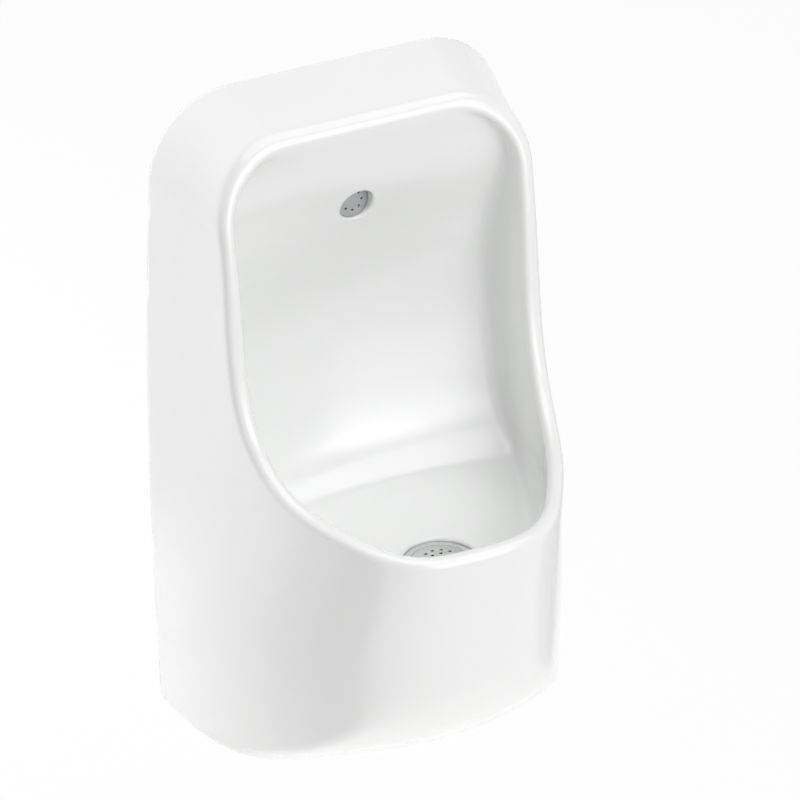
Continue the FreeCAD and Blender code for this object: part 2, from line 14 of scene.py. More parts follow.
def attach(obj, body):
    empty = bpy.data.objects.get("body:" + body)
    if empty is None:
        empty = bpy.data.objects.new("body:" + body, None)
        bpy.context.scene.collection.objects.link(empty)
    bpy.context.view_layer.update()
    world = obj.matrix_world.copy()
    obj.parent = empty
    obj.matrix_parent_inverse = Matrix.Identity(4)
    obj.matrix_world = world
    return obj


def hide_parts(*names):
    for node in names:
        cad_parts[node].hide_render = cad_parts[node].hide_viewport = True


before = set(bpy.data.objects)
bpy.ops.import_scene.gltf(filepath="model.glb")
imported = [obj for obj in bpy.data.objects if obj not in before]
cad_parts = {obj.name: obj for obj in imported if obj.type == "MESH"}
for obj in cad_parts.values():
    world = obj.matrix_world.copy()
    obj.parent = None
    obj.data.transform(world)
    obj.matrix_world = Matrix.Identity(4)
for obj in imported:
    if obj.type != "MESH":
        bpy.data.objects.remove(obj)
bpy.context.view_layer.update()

log = logging.getLogger("urinal")
MAIN_BODY = "bowl_and_fittings"
OBJECT_MIDDLE = (0.0, -0.150, 0.300)
MM = 0.001
WHITE = (1.0, 1.0, 1.0, 1.0)
BRUSH_STRETCH = (1.0, 1.0, 14.0)
PATCH_DETAIL = 3.0
GRAIN_DETAIL = 2.0


# Shader help


def linear(hex_colour: str) -> tuple[float, float, float, float]:
    """Turn an sRGB hex colour into the linear colour that shaders take.

    Args:
        hex_colour: Six hex digits, such as "f4f5f3".

    Returns:
        Red, green, blue and an alpha of 1.
    """
    parts = [int(hex_colour[i : i + 2], 16) / 255 for i in (0, 2, 4)]
    red, green, blue = (p / 12.92 if p <= 0.04045 else ((p + 0.055) / 1.055) ** 2.4 for p in parts)
    return red, green, blue, 1.0


def add_node(
    tree: bpy.types.NodeTree, kind: str, inputs: dict | None = None, **settings: object
) -> bpy.types.Node:
    """Add one node with its settings, values and links.

    Args:
        tree: Node tree that takes the node.
        kind: Blender's name for the node, such as "ShaderNodeTexNoise".
        inputs: A value or another node's output socket for each named input.
        settings: Attributes of the node itself.

    Returns:
        The new node.
    """
    node = tree.nodes.new(kind)
    for name, value in settings.items():
        setattr(node, name, value)
    for name, value in (inputs or {}).items():
        if isinstance(value, bpy.types.NodeSocket):
            tree.links.new(value, node.inputs[name])
        else:
            node.inputs[name].default_value = value
    return node


class Pattern(Enum):
    """How the fine variation of a surface is laid out."""

    CLOUDED = "clouded"
    SPANGLED = "spangled"
    BRUSHED = "brushed"


@dataclass(frozen=True)
class Finish:
    """A real material and how its surface was made.

    Attributes:
        name: Common name of the material and of its process.
        colour: Main colour, sRGB hex.
        second_colour: Colour that the variation leads to, sRGB hex.
        pattern: Layout of the variation.
        pattern_mm: Size of one patch, spangle or brush line.
        relief_mm: Height of the surface's own waviness or grain.
        relief_size_mm: Width of one wave or grain.
        roughness: Lowest roughness of the surface.
        roughness_swing: How much rougher the roughest patches are.
        metallic: 1 for bare metal, otherwise 0.
        ior: Refractive index, where the material isn't a metal.
        coat: Weight of a clear layer on top.
        coat_roughness: Roughness of that layer.
        cover: Share of the surface that isn't open mesh.
    """

    name: str
    colour: str
    second_colour: str
    pattern: Pattern
    pattern_mm: float
    relief_mm: float
    relief_size_mm: float
    roughness: float
    roughness_swing: float
    metallic: float = 0.0
    ior: float = 1.5
    coat: float = 0.0
    coat_roughness: float = 0.03
    cover: float = 1.0

    def build(self) -> bpy.types.Material:
        """Make the material's nodes, and return the material.

        Returns:
            The material.
        """
        material = bpy.data.materials.new(self.name)
        material.use_nodes = True
        tree = material.node_tree
        shader = tree.nodes["Principled BSDF"]
        place = add_node(tree, "ShaderNodeTexCoord").outputs["Object"]
        if self.pattern is Pattern.BRUSHED:
            drawn = {0: place, 1: BRUSH_STRETCH}
            vector = add_node(tree, "ShaderNodeVectorMath", drawn, operation="MULTIPLY").outputs["Vector"]
        else:
            vector = place
        scale = 1 / (self.pattern_mm * MM)
        if self.pattern is Pattern.SPANGLED:
            texture = add_node(tree, "ShaderNodeTexVoronoi", {"Vector": vector, "Scale": scale})
            split = add_node(tree, "ShaderNodeSeparateColor", {"Color": texture.outputs["Color"]})
            patches = split.outputs["Red"]
        else:
            layout = {"Vector": vector, "Scale": scale, "Detail": PATCH_DETAIL}
            texture = add_node(tree, "ShaderNodeTexNoise", layout)
            patches = texture.outputs["Fac"]
        tint = add_node(tree, "ShaderNodeMix", {"Factor": patches}, data_type="RGBA")
        tint.inputs["A"].default_value = linear(self.colour)
        tint.inputs["B"].default_value = linear(self.second_colour)
        tree.links.new(tint.outputs["Result"], shader.inputs["Base Color"])
        rough = add_node(
            tree,
            "ShaderNodeMapRange",
            {"Value": patches, "To Min": self.roughness, "To Max": self.roughness + self.roughness_swing},
        )
        tree.links.new(rough.outputs["Result"], shader.inputs["Roughness"])
        grain_scale = 1 / (self.relief_size_mm * MM)
        grain_layout = {"Vector": vector, "Scale": grain_scale, "Detail": GRAIN_DETAIL}
        grain = add_node(tree, "ShaderNodeTexNoise", grain_layout)
        bump = add_node(
            tree,
            "ShaderNodeBump",
            {"Height": grain.outputs["Fac"], "Distance": self.relief_mm * MM, "Strength": 1.0},
        )
        tree.links.new(bump.outputs["Normal"], shader.inputs["Normal"])
        shader.inputs["Metallic"].default_value = self.metallic
        shader.inputs["Alpha"].default_value = self.cover
        shader.inputs["Coat Weight"].default_value = self.coat
        shader.inputs["Coat Roughness"].default_value = self.coat_roughness
        if not self.metallic:
            shader.inputs["IOR"].default_value = self.ior
        return material


# Vitreous china, slip-cast, glazed and fired: a faintly cool white under a clear, slightly wavy skin.
GLAZED_CHINA = Finish(
    name="Vitreous_china_slip_cast_and_glazed",
    colour="f8f9f8",
    second_colour="f6f7f6",
    pattern=Pattern.CLOUDED,
    pattern_mm=90.0,
    relief_mm=0.02,
    relief_size_mm=26.0,
    roughness=0.15,
    roughness_swing=0.04,
    ior=1.58,
    coat=1.0,
    coat_roughness=0.16,
)
# The same china where it stood in the kiln and on the wall: unglazed, dry and slightly cream.
FIRED_BISCUIT = Finish(
    name="Vitreous_china_unglazed_biscuit",
    colour="e6e0d3",
    second_colour="d9d1c0",
    pattern=Pattern.CLOUDED,
    pattern_mm=14.0,
    relief_mm=0.08,
    relief_size_mm=1.6,
    roughness=0.75,
    roughness_swing=0.15,
)
# Mild steel, hot-dip galvanised: grey zinc with spangles a centimetre wide that differ in gloss.
GALVANISED_STEEL = Finish(
    name="Mild_steel_hot_dip_galvanised",
    colour="b9bdc0",
    second_colour="8f959a",
    pattern=Pattern.SPANGLED,
    pattern_mm=11.0,
    relief_mm=0.02,
    relief_size_mm=3.0,
    roughness=0.34,
    roughness_swing=0.22,
    metallic=1.0,
)
# Stainless steel sheet, pressed and brushed: a satin grey with fine lines.
STAINLESS_STEEL = Finish(
    name="Stainless_steel_pressed_and_brushed",
    colour="d8d9d7",
    second_colour="c6c8c7",
    pattern=Pattern.BRUSHED,
    pattern_mm=1.8,
    relief_mm=0.01,
    relief_size_mm=1.2,
    roughness=0.42,
    roughness_swing=0.12,
    metallic=1.0,
)
# Brass, turned, polished and chromium plated: a cold mirror with faint wiping marks.
CHROMED_BRASS = Finish(
    name="Brass_turned_and_chromium_plated",
    colour="d6d8da",
    second_colour="bfc2c5",
    pattern=Pattern.CLOUDED,
    pattern_mm=12.0,
    relief_mm=0.006,
    relief_size_mm=5.0,
    roughness=0.12,
    roughness_swing=0.10,
    metallic=1.0,
)
# Brass, turned, blasted and chromium plated: the same plate with an even satin grey.
SATIN_CHROME = Finish(
    name="Brass_blasted_and_satin_chromium_plated",
    colour="adafb0",
    second_colour="a4a6a7",
    pattern=Pattern.CLOUDED,
    pattern_mm=10.0,
    relief_mm=0.01,
    relief_size_mm=0.8,
    roughness=0.5,
    roughness_swing=0.1,
    metallic=1.0,
)
# Brass, turned and left bare: yellow metal with dull brown patches.
PLAIN_BRASS = Finish(
    name="Brass_turned_and_bare",
    colour="c8a455",
    second_colour="9a7636",
    pattern=Pattern.CLOUDED,
    pattern_mm=7.0,
    relief_mm=0.02,
    relief_size_mm=1.0,
    roughness=0.28,
    roughness_swing=0.2,
    metallic=1.0,
)
# Nylon, moulded: a milky off-white with a soft shine.
NYLON = Finish(
    name="Nylon_moulded",
    colour="e9e6da",
    second_colour="dedacb",
    pattern=Pattern.CLOUDED,
    pattern_mm=9.0,
    relief_mm=0.015,
    relief_size_mm=0.9,
    roughness=0.42,
    roughness_swing=0.12,
    ior=1.53,
)
# Polypropylene, moulded: a plain white with a fine spark-eroded grain from the mould.
POLYPROPYLENE = Finish(
    name="Polypropylene_white_moulded",
    colour="eceeec",
    second_colour="e2e5e3",
    pattern=Pattern.CLOUDED,
    pattern_mm=24.0,
    relief_mm=0.025,
    relief_size_mm=1.1,
    roughness=0.40,
    roughness_swing=0.12,
    ior=1.49,
)
# Rubber, moulded: a dull black with a dusty bloom.
RUBBER = Finish(
    name="Rubber_black_moulded",
    colour="1b1b1c",
    second_colour="303031",
    pattern=Pattern.CLOUDED,
    pattern_mm=6.0,
    relief_mm=0.03,
    relief_size_mm=0.8,
    roughness=0.66,
    roughness_swing=0.2,
    ior=1.52,
)
# Cotton net on the studio's frames: black threads that dim what lies behind them, more where woven closer.
CLOSE_NET = Finish(
    name="Cotton_net_woven_close",
    colour="141414",
    second_colour="1a1a1a",
    pattern=Pattern.CLOUDED,
    pattern_mm=5.0,
    relief_mm=0.05,
    relief_size_mm=1.0,
    roughness=0.9,
    roughness_swing=0.08,
    cover=0.42,
)
OPEN_NET = Finish(
    name="Cotton_net_woven_open",
    colour="141414",
    second_colour="1a1a1a",
    pattern=Pattern.CLOUDED,
    pattern_mm=5.0,
    relief_mm=0.05,
    relief_size_mm=1.0,
    roughness=0.9,
    roughness_swing=0.08,
    cover=0.27,
)


# Lines and signed distances


def spline(knots: Sequence[float], values: Sequence[float]) -> Callable[[np.ndarray], np.ndarray]:
    """Natural cubic spline through values at knots, carried on straight past its ends.

    Args:
        knots: Rising places of the values.
        values: One value for each knot.

    Returns:
        A function from places to values.
    """
    t, v = np.asarray(knots, float), np.asarray(values, float)
    gap = np.diff(t)
    rise = np.diff(v) / gap
    system = np.eye(len(t))
    right = np.zeros(len(t))
    for i in range(1, len(t) - 1):
        system[i, i - 1 : i + 2] = gap[i - 1], 2 * (gap[i - 1] + gap[i]), gap[i]
        right[i] = 6 * (rise[i] - rise[i - 1])
    bend = np.linalg.solve(system, right)
    first_slope = rise[0] - gap[0] * bend[1] / 6
    last_slope = rise[-1] + gap[-1] * bend[-2] / 6

    def at(places: np.ndarray) -> np.ndarray:
        """Values at places.

        Args:
            places: Where to read the spline.

        Returns:
            One value for each place.
        """
        inner = np.clip(places, t[0], t[-1])
        i = np.clip(np.searchsorted(t, inner) - 1, 0, len(gap) - 1)
        a, b, h = t[i + 1] - inner, inner - t[i], gap[i]
        cubic = (bend[i] * a**3 + bend[i + 1] * b**3) / (6 * h)
        straight = (v[i] / h - bend[i] * h / 6) * a + (v[i + 1] / h - bend[i + 1] * h / 6) * b
        past = np.minimum(places - t[0], 0) * first_slope + np.maximum(places - t[-1], 0) * last_slope
        return cubic + straight + past

    return at


def smooth_line(points: np.ndarray, count: int) -> np.ndarray:
    """Smooth line of count points through a few points in a plane.

    Args:
        points: The few points, in order.
        count: How many points the line gets.

    Returns:
        The line's points.
    """
    along = np.concatenate([[0.0], np.cumsum(np.hypot(*np.diff(points, axis=0).T))])
    places = np.linspace(0, along[-1], count)
    return np.stack([spline(along, points[:, axis])(places) for axis in (0, 1)], axis=1)


def sharp_max(*fields: np.ndarray) -> np.ndarray:
    """What lies in all the shapes, with sharp edges."""
    return np.maximum.reduce(fields)


def round_max(a: np.ndarray, b: np.ndarray, radius: float | np.ndarray) -> np.ndarray:
    """What lies in both shapes, with an edge rounded to radius where their faces meet squarely."""
    corner = np.hypot(a + radius, b + radius) - radius
    return np.where((a > -radius) & (b > -radius), corner, np.maximum(a, b))


def soft_max(a: np.ndarray, b: np.ndarray, width: float | np.ndarray) -> np.ndarray:
    """What lies in both shapes, blended over width where their faces meet at a low angle."""
    near = np.maximum(width - np.abs(a - b), 0) / width
    return np.maximum(a, b) + near**3 * width / 6


@dataclass
class OutlineTable:
    """Signed distance to a closed outline, on a grid of points a step apart, negative inside.

    Attributes:
        low: Lowest corner of the grid.
        step: Distance between grid points.
        values: Signed distances.
        edge_guard: Grid steps, counted from the far end, where a place still has a next grid point.
    """

    low: tuple[float, float]
    step: float
    values: np.ndarray
    edge_guard: float = 1.001

    @classmethod
    def of(cls, outline: np.ndarray, low: tuple[float, float], high: tuple[float, float]) -> "OutlineTable":
        """Measure an outline.

        Args:
            outline: Its corners in order, without the first one again.
            low: Lowest corner of the grid.
            high: Highest corner of the grid.

        Returns:
            The table.
        """
        step = 1.0
        a, b = (np.arange(lo, hi + step, step) for lo, hi in zip(low, high))
        grid_a, grid_b = np.meshgrid(a, b, indexing="ij")
        nearest = np.full(grid_a.shape, np.inf)
        inside = np.zeros(grid_a.shape, bool)
        for (a0, b0), (a1, b1) in zip(outline, np.roll(outline, -1, axis=0)):
            run_a, run_b = a1 - a0, b1 - b0
            length = run_a * run_a + run_b * run_b
            if length == 0:
                continue
            share = np.clip(((grid_a - a0) * run_a + (grid_b - b0) * run_b) / length, 0, 1)
            away = (grid_a - a0 - share * run_a) ** 2 + (grid_b - b0 - share * run_b) ** 2
            nearest = np.minimum(nearest, away)
            if run_b:
                crosses = (b0 > grid_b) != (b1 > grid_b)
                inside ^= crosses & (grid_a < a0 + run_a * (grid_b - b0) / run_b)
        distance = np.sqrt(nearest)
        return cls(low, step, np.where(inside, -distance, distance))

    def at(self, a: np.ndarray, b: np.ndarray) -> np.ndarray:
        """Signed distance at points, between the grid points by proportion.

        Args:
            a: First coordinates.
            b: Second coordinates.

        Returns:
            Distances, negative inside.
        """
        rows, columns = self.values.shape
        place_a = np.clip((a - self.low[0]) / self.step, 0, rows - self.edge_guard)
        place_b = np.clip((b - self.low[1]) / self.step, 0, columns - self.edge_guard)
        i, j = place_a.astype(int), place_b.astype(int)
        s, t = place_a - i, place_b - j
        v = self.values
        low_row = v[i, j] * (1 - t) + v[i, j + 1] * t
        high_row = v[i + 1, j] * (1 - t) + v[i + 1, j + 1] * t
        return low_row * (1 - s) + high_row * s


def surface_net(values: np.ndarray, low: np.ndarray, step: float) -> tuple[np.ndarray, np.ndarray]:
    """Mesh of four-cornered faces where a field on a grid is zero, facing away from its negative side.

    Args:
        values: The field on a grid.
        low: Place of the grid's first point.
        step: Distance between grid points.

    Returns:
        Points and faces.
    """
    inside = values < 0
    cells = tuple(n - 1 for n in values.shape)
    corners = [(i, j, k) for i in (0, 1) for j in (0, 1) for k in (0, 1)]

    def corner_of(array: np.ndarray, corner: tuple[int, int, int]) -> np.ndarray:
        """The array at one corner of every cell."""
        return array[tuple(slice(c, c + n) for c, n in zip(corner, cells))]

    count = sum(corner_of(inside, c).astype(np.int8) for c in corners)
    active = (count > 0) & (count < len(corners))
    number = np.full(cells, -1)
    number[active] = np.arange(active.sum())
    total = np.zeros((int(active.sum()), 3))
    crossings = np.zeros(len(total))
    for start in corners:
        for axis in range(3):
            if start[axis]:
                continue
            end = tuple(1 if n == axis else c for n, c in enumerate(start))
            a, b = corner_of(values, start)[active], corner_of(values, end)[active]
            crossed = (a < 0) != (b < 0)
            share = np.where(crossed, a / np.where(crossed, a - b, 1.0), 0.0)
            point = np.tile(np.array(start, float), (len(total), 1))
            point[:, axis] = share
            total += np.where(crossed[:, None], point, 0.0)
            crossings += crossed
    points = low + step * (np.argwhere(active) + total / crossings[:, None])
    faces = []
    for axis in range(3):
        second, third = (axis + 1) % 3, (axis + 2) % 3
        here = np.take(inside, range(values.shape[axis] - 1), axis)
        ahead = np.take(inside, range(1, values.shape[axis]), axis)
        edges = np.argwhere(here != ahead)
        edges = edges[(edges[:, second] > 0) & (edges[:, third] > 0)]
        edges = edges[(edges[:, second] < cells[second]) & (edges[:, third] < cells[third])]
        ring = []
        for back_second, back_third in ((1, 1), (0, 1), (0, 0), (1, 0)):
            cell = edges.copy()
            cell[:, second] -= back_second
            cell[:, third] -= back_third
            ring.append(number[tuple(cell.T)])
        quads = np.stack(ring, axis=1)
        outward = here[tuple(edges.T)]
        faces.append(np.where(outward[:, None], quads, quads[:, ::-1]))
    return points, np.concatenate(faces)


def new_piece(name: str, points: np.ndarray, faces: np.ndarray) -> bpy.types.Object:
    """Make a smooth-shaded mesh object.

    Args:
        name: Name of the piece.
        points: Corners in metres.
        faces: Corner numbers of each face.

    Returns:
        The object, linked to the scene.
    """
    mesh = bpy.data.meshes.new(name)
    mesh.from_pydata(points.tolist(), [], faces.tolist())
    mesh.polygons.foreach_set("use_smooth", [True] * len(mesh.polygons))
    mesh.update()
    piece = bpy.data.objects.new(name, mesh)
    bpy.context.scene.collection.objects.link(piece)
    return piece


@dataclass
class CeramicBody:
    """The china body as one glazed skin, in millimetres, with the soft edges that glaze gives.

    X runs along the wall, the wall is y = 0, the front faces -Y and Z is up.
    A depth is a distance from the wall.
    """

    width: float = 352.0
    height: float = 600.0
    depth: float = 291.0
    skirt_setback: float = 10.0
    skirt_height: float = 130.0
    middle_height: float = 270.0
    corner_radius: float = 77.0
    corner_narrowing: float = 0.13
    corner_narrowing_depth: float = 105.0
    bottom_round: float = 15.0
    forehead_slope: float = 19.0 / 80.0
    shell_wall: float = 11.0
    rim_top_depth: float = 80.0
    rim_top_height: float = 581.0
    lip_height: float = 260.5
    rim_land: float = 17.0
    rim_flare: float = 1.0
    rim_flare_reach: float = 22.0
    rim_round: float = 6.0
    crease_width: float = 6.0
    corner_crease: float = 54.0
    corner_crease_top: float = 48.0
    chin_height: float = 146.0
    chin_setback: float = 124.0
    chin_bottom_bow: float = 259.0
    chin_top_bow: float = 147.0
    bowl_floor: float = 214.0
    bowl_ceiling: float = 571.0
    bowl_half_width: float = 140.0
    bowl_top_corner: float = 67.0
    bowl_corner: float = 18.0
    bowl_brow: float = 5.0
    bowl_brow_start: float = 490.0
    bowl_floor_round: float = 36.0
    bowl_scoop: float = 90.0
    bowl_back_depth: float = 30.0
    bowl_back_sweep: float = 62.0
    bowl_back_bow: float = 520.0
    bowl_back_bow_end: float = 540.0
    bowl_back_bow_fade: float = 110.0
    bowl_blend: float = 18.0
    corner_blend: float = 9.0
    lip_wall: float = 12.0
    inlet_height: float = 488.0
    inlet_hole: float = 15.5
    inlet_bore: float = 11.08
    inlet_step: float = 42.0
    inlet_boss: float = 30.0
    inlet_boss_back: float = 34.0
    inlet_boss_front: float = 80.0
    outlet_depth: float = 212.0
    outlet_hole: float = 26.0
    outlet_recess: float = 33.0
    outlet_seat: float = 209.0
    rib_low: float = 536.0
    rib_high: float = 549.0
    rib_reach: float = 90.0
    slot_place: float = 95.0
    slot_half: float = 23.0
    slot_back: float = 15.0
    slot_front: float = 25.0
    lug_place: float = 125.0
    lug_half: float = 35.0
    lug_height: float = 62.0
    lug_half_tall: float = 28.0
    lug_thickness: float = 15.0
    lug_hole: float = 7.0
    inner_round: float = 4.0
    hole_round: float = 2.0
    grid_step: float = 2.5
    unfold_rounds: int = 8
    margin: float = 8.0
    table_reach: float = 24.0
    plan_points: int = 360
    rim_points: int = 240
    half_step: float = 0.5
    probe: float = 0.25
    draw_share: float = 0.86
    least_steepness: float = 0.05
    least_move: float = 1e-9
    wall_facing: float = 0.9

    settling_pulls = (0.6, 0.6, 0.5, 0.4, 0.3, 0.0)
    plan_depth_shares = (0.0, 0.18, 0.36, 0.54, 0.70, 0.82, 0.91, 0.97, 1.0)
    upper_plan_shares = (1.0, 0.935, 0.870, 0.797, 0.700, 0.590, 0.480, 0.345, 0.0)
    lower_plan_shares = (1.0, 0.985, 0.945, 0.865, 0.745, 0.610, 0.470, 0.290, 0.0)
    side_heights = (0.0, 50.0, 130.0, 270.0, 400.0, 523.0)
    side_tapers = (14.0, 11.0, 6.0, 0.0, 2.5, 11.0)
    rim_depth_shares = (0.0, 0.0806, 0.142, 0.175, 0.256, 0.408, 0.692, 1.0)
    rim_height_shares = (1.0, 0.839, 0.594, 0.403, 0.228, 0.120, 0.049, 0.0)
    chin_rise_shares = (-0.14, 0.0, 0.342, 0.630, 1.0, 1.44)
    chin_setback_shares = (1.20, 1.0, 0.427, 0.161, 0.056, -0.085)
    bowl_rise_shares = (0.0, 0.016, 0.060, 0.125, 0.24, 0.38, 0.52, 0.65, 0.77, 0.82, 0.905, 0.972, 1.0)
    bowl_back_shares = (1.03, 0.87, 0.67, 0.476, 0.258, 0.097, 0.05, 0.18, 0.46, 0.58, 0.70, 0.79, 0.84)

    def __post_init__(self) -> None:
        """Work out the lines and tables that the shape is read from."""
        reach = self.table_reach
        self.upper_plan = self.plan_table(self.upper_plan_shares, reach)
        self.lower_plan = self.plan_table(self.lower_plan_shares, reach)
        self.rim_table = self.side_table(reach)
        halves = [(self.width - taper) / 2 for taper in self.side_tapers]
        self.half_width = spline(self.side_heights, halves)
        chin_steps = [self.chin_height * rise for rise in self.chin_rise_shares]
        chin_depths = [self.depth - self.chin_setback * share for share in self.chin_setback_shares]
        self.chin_depth = spline(chin_steps, chin_depths)
        rise = self.bowl_ceiling - self.bowl_floor
        backs = [self.bowl_back_depth + self.bowl_back_sweep * share for share in self.bowl_back_shares]
        self.bowl_back = spline([self.bowl_floor + rise * share for share in self.bowl_rise_shares], backs)

    def plan_table(self, shares: Sequence[float], reach: float) -> OutlineTable:
        """Distances from one plan of the outside, carried on behind the wall by reach.

        Args:
            shares: Half widths at the plan's depths, as shares.
            reach: How far past the outline the table goes.

        Returns:
            The table, over x and depth.
        """
        half = self.width / 2 * np.array(shares)
        depths = self.depth * np.array(self.plan_depth_shares)
        flare = (half[0] - half[1]) / (depths[1] - depths[0])
        right = np.stack([np.r_[half[0] + flare * reach, half], np.r_[-reach, depths]], axis=1)
        left = right[-2::-1] * (-1, 1)
        line = smooth_line(np.concatenate([right, left]), self.plan_points)
        far_back = line[[-1, 0]] - (0.0, self.height)
        outline = np.concatenate([line, far_back])
        return OutlineTable.of(outline, (0.0, -reach), (self.width / 2 + reach, self.depth + reach))

    def side_table(self, reach: float) -> OutlineTable:
        """Distances from the rim seen from the side, as depths and heights, negative behind and below it.

        Args:
            reach: How far past the outline the table goes.

        Returns:
            The table, over depth and height.
        """
        depths = self.rim_top_depth + (self.depth - self.rim_top_depth) * np.array(self.rim_depth_shares)
        heights = self.lip_height + (self.rim_top_height - self.lip_height) * np.array(self.rim_height_shares)
        rim = smooth_line(np.stack([depths, heights], axis=1), self.rim_points)
        front, top, far = self.depth + 4 * reach, self.height + 4 * reach, -4 * reach
        ends = [(front, rim[-1][1]), (front, far), (far, far), (far, top), (rim[0][0], top)]
        outline = np.concatenate([rim, np.array(ends)])
        return OutlineTable.of(outline, (-reach, -reach), (self.depth + 2 * reach, self.height + 2 * reach))

    def outside(self, x: np.ndarray, d: np.ndarray, z: np.ndarray) -> np.ndarray:
        """Distance from the sides, nose, top and round shoulders, with the bottom left open.

        Args:
            x: Distances from the middle plane.
            d: Depths.
            z: Heights.

        Returns:
            Distances in millimetres.
        """
        rise = np.clip((z - self.skirt_height) / (self.middle_height - self.skirt_height), 0, 1)
        upper = rise * rise * (3 - 2 * rise)
        top_start = self.side_heights[-2]
        climb = np.clip((z - top_start) / (self.side_heights[-1] - top_start), 0, 1)
        level = np.clip(z + self.forehead_slope * d * climb, self.side_heights[0], self.side_heights[-1])
        wide = 2 * self.half_width(level) / self.width
        deep = 1 - self.skirt_setback * (1 - upper) / self.depth
        plan_x, plan_d = x / wide, d / deep
        side = self.lower_plan.at(plan_x, plan_d) * (1 - upper) + self.upper_plan.at(plan_x, plan_d) * upper
        top = (z + self.forehead_slope * d - self.height) / math.hypot(1, self.forehead_slope)
        full_depth = self.corner_narrowing_depth
        narrowing = self.corner_narrowing * np.clip(d, 0, full_depth) / full_depth
        return round_max(side, top, self.corner_radius * (1 - narrowing))

    def chin(self, x: np.ndarray, d: np.ndarray, z: np.ndarray) -> np.ndarray:
        """Distance from the chin's face, negative behind it.

        Args:
            x: Distances from the middle plane.
            d: Depths.
            z: Heights.

        Returns:
            Distances in millimetres.
        """
        steepness = (1 / self.chin_top_bow - 1 / self.chin_bottom_bow) / self.chin_height
        bow = np.clip(1 / self.chin_bottom_bow + steepness * z, 0, None)
        across = x * x / 2
        ahead = d - self.chin_depth(z) + across * bow
        lean = self.chin_depth(z + self.half_step) - self.chin_depth(z - self.half_step)
        slope = lean - across * steepness
        return ahead / np.sqrt(1 + (x * bow) ** 2 + slope**2)

    def chin_edge(self, x: np.ndarray, d: np.ndarray) -> np.ndarray:
        """Distance from the upright face that blunts the chin's lower inner edge, negative behind it.

        Args:
            x: Distances from the middle plane.
            d: Depths.

        Returns:
            Distances in millimetres.
        """
        bow = 1 / self.chin_bottom_bow
        ahead = d - self.chin_depth(np.zeros_like(d)) + bow * x * x / 2 + self.shell_wall
        return ahead / np.sqrt(1 + (bow * x) ** 2)

    def bowl(self, x: np.ndarray, d: np.ndarray, z: np.ndarray) -> np.ndarray:
        """Distance from the inside of the bowl, negative in its hollow.

        Args:
            x: Distances from the middle plane.
            d: Depths.
            z: Heights.

        Returns:
            Distances in millimetres.
        """
        side = round_max(x - self.bowl_half_width, z - self.bowl_ceiling, self.bowl_top_corner)
        front = self.upper_plan.at(x, d) + self.lip_wall
        wall = soft_max(side, front, self.bowl_blend)
        floor = self.bowl_floor - z
        lean = self.bowl_back(z + self.half_step) - self.bowl_back(z - self.half_step)
        bow = np.clip((self.bowl_back_bow_end - z) / self.bowl_back_bow_fade, 0, 1) / self.bowl_back_bow
        back = (self.bowl_back(z) + bow * x * x / 2 - d) / np.sqrt(1 + lean**2 + (bow * x) ** 2)
        climb = np.clip((z - self.bowl_brow_start) / (self.bowl_ceiling - self.bowl_brow_start), 0, 1)
        corner = self.bowl_corner + (self.bowl_brow - self.bowl_corner) * climb
        low_corner = round_max(wall, floor, self.bowl_floor_round)
        corners = soft_max(low_corner, round_max(wall, back, corner), self.corner_blend)
        return soft_max(corners, soft_max(back, floor, self.bowl_scoop), self.corner_blend)

    def hollow(
        self, x: np.ndarray, d: np.ndarray, z: np.ndarray, outside: np.ndarray, bowl: np.ndarray
    ) -> np.ndarray:
        """Distance from the space behind and below the bowl, negative in it.

        Args:
            x: Distances from the middle plane.
            d: Depths.
            z: Heights.
            outside: Distances from the outside.
            bowl: Distances from the bowl.

        Returns:
            Distances in millimetres.
        """
        low = np.clip(self.bottom_round - z, 0, self.bottom_round * self.draw_share)
        draw = self.bottom_round - np.sqrt(self.bottom_round**2 - low**2)
        space = outside + self.shell_wall + draw
        space = round_max(space, self.rim_table.at(d + self.rim_land, z + self.rim_land), self.inner_round)
        behind_chin = np.minimum(self.chin(x, d + self.shell_wall, z - self.shell_wall), self.chin_edge(x, d))
        space = round_max(space, behind_chin, self.inner_round)
        space = round_max(space, self.shell_wall - bowl, self.inner_round)
        from_slot = np.abs(x - self.slot_place) - self.slot_half
        slot = sharp_max(from_slot, d - self.slot_front, self.slot_back - d)
        rib = sharp_max(self.rib_low - z, z - self.rib_high, d - self.rib_reach)
        rib = round_max(rib, -slot, self.hole_round)
        from_boss = np.hypot(x, z - self.inlet_height) - self.inlet_boss
        boss = sharp_max(from_boss, self.inlet_boss_back - d, d - self.inlet_boss_front)
        from_lug = np.abs(z - self.lug_height) - self.lug_half_tall
        lug = sharp_max(self.lug_place - self.lug_half - x, from_lug, d - self.lug_thickness)
        for solid in (rib, boss, lug):
            space = round_max(space, -solid, self.inner_round)
        return space

    def holes(self, x: np.ndarray, d: np.ndarray, z: np.ndarray) -> list[np.ndarray]:
        """Distances from the holes for the inlet, the waste and the lower screws, negative in each.

        Args:
            x: Distances from the middle plane.
            d: Depths.
            z: Heights.

        Returns:
            One array of distances for each hole.
        """
        from_inlet = np.hypot(x, z - self.inlet_height)
        from_outlet = np.hypot(x, d - self.outlet_depth)
        from_screw = np.hypot(x - self.lug_place, z - self.lug_height)
        below = self.bowl_floor - 3 * self.shell_wall
        above = self.bowl_floor + 2 * self.shell_wall
        return [
            sharp_max(from_inlet - self.inlet_hole, self.inlet_step - d, d - self.inlet_boss_front),
            sharp_max(from_inlet - self.inlet_bore, d - self.inlet_boss_front),
            sharp_max(from_outlet - self.outlet_recess, self.outlet_seat - z, z - above),
            sharp_max(from_outlet - self.outlet_hole, below - z, z - above),
            sharp_max(from_screw - self.lug_hole, d - 2 * self.lug_thickness),
        ]

